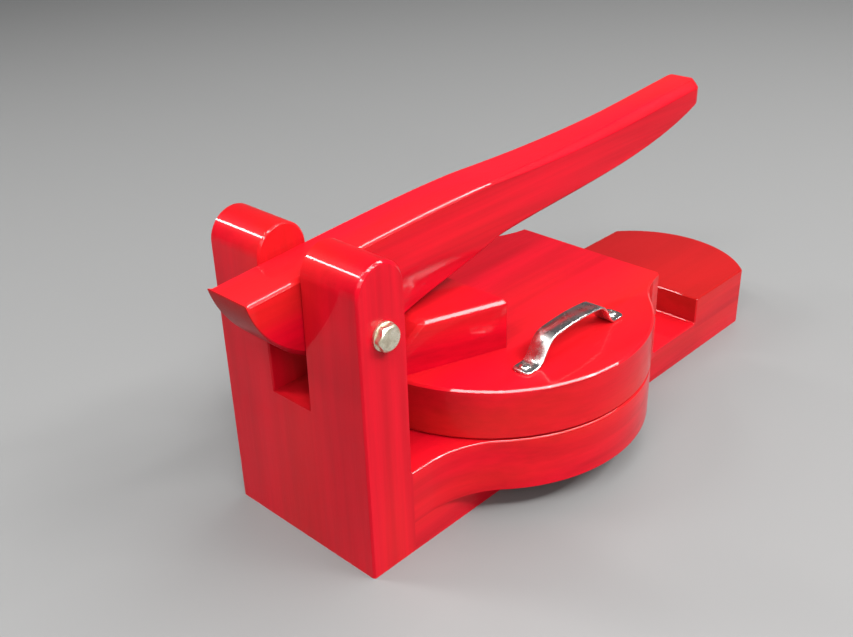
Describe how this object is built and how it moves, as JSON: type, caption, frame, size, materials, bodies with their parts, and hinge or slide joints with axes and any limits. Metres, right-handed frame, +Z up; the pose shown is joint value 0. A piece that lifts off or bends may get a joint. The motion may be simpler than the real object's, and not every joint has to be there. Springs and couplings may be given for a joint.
{
  "type": "tortilla press",
  "caption": "Wooden lever press: a clevis post holds a long lever that bears on a block on a hinged round platen and presses it onto a round base board with an arc-shaped end.",
  "frame": {"origin": "on the ground under the centre of the round board, in the middle of the press's width", "axes": "+X from the clevis post to the arc-shaped end, +Y to the left seen from the post's end, +Z up"},
  "size_m": [0.4315, 0.2, 0.178],
  "materials": {
    "base_board": "red stain under gloss lacquer",
    "base_runner": "red stain under gloss lacquer",
    "clevis_post": "red stain under gloss lacquer",
    "upper_platen": "red stain under gloss lacquer",
    "pressing_block": "red stain under gloss lacquer",
    "lever": "red stain under gloss lacquer",
    "dowel_wood": "bare",
    "pull_steel": "polished",
    "pivot_zinc": "yellowish zinc plate",
    "hinge_zinc": "zinc plate",
    "screw_zinc": "zinc plate"
  },
  "bodies": {
    "base": {"base_board": "base_board", "base_runner": "base_runner", "clevis_post": "clevis_post", "post_dowels": "dowel_wood", "runner_screws": "screw_zinc", "pivot_bolt": "pivot_zinc", "pivot_washer": "pivot_zinc", "pivot_nut": "pivot_zinc", "left_hinge_base_leaf": "hinge_zinc", "right_hinge_base_leaf": "hinge_zinc", "left_hinge_pin": "hinge_zinc", "right_hinge_pin": "hinge_zinc", "hinge_base_screws": "screw_zinc"},
    "platen": {"upper_platen": "upper_platen", "pressing_block": "pressing_block", "block_dowels": "dowel_wood", "pull_handle": "pull_steel", "pull_handle_screws": "pull_steel", "left_hinge_platen_leaf": "hinge_zinc", "right_hinge_platen_leaf": "hinge_zinc", "hinge_platen_screws": "screw_zinc"},
    "lever": {"lever": "lever"}
  },
  "joints": [
    {"name": "platen_hinge", "type": "hinge", "parent": "base", "child": "platen", "pos_m": [0.1086, 0, 0.0512], "axis": [0, 1, 0], "range_deg": [0, 33]},
    {"name": "lever_pivot", "type": "hinge", "parent": "base", "child": "lever", "pos_m": [-0.1385, 0, 0.139], "axis": [0, -1, 0], "range_deg": [0, 115.5]}
  ],
  "couplings": [
    {"joint": "lever_pivot", "follows": "platen_hinge", "ratio": 3.5}
  ]
}
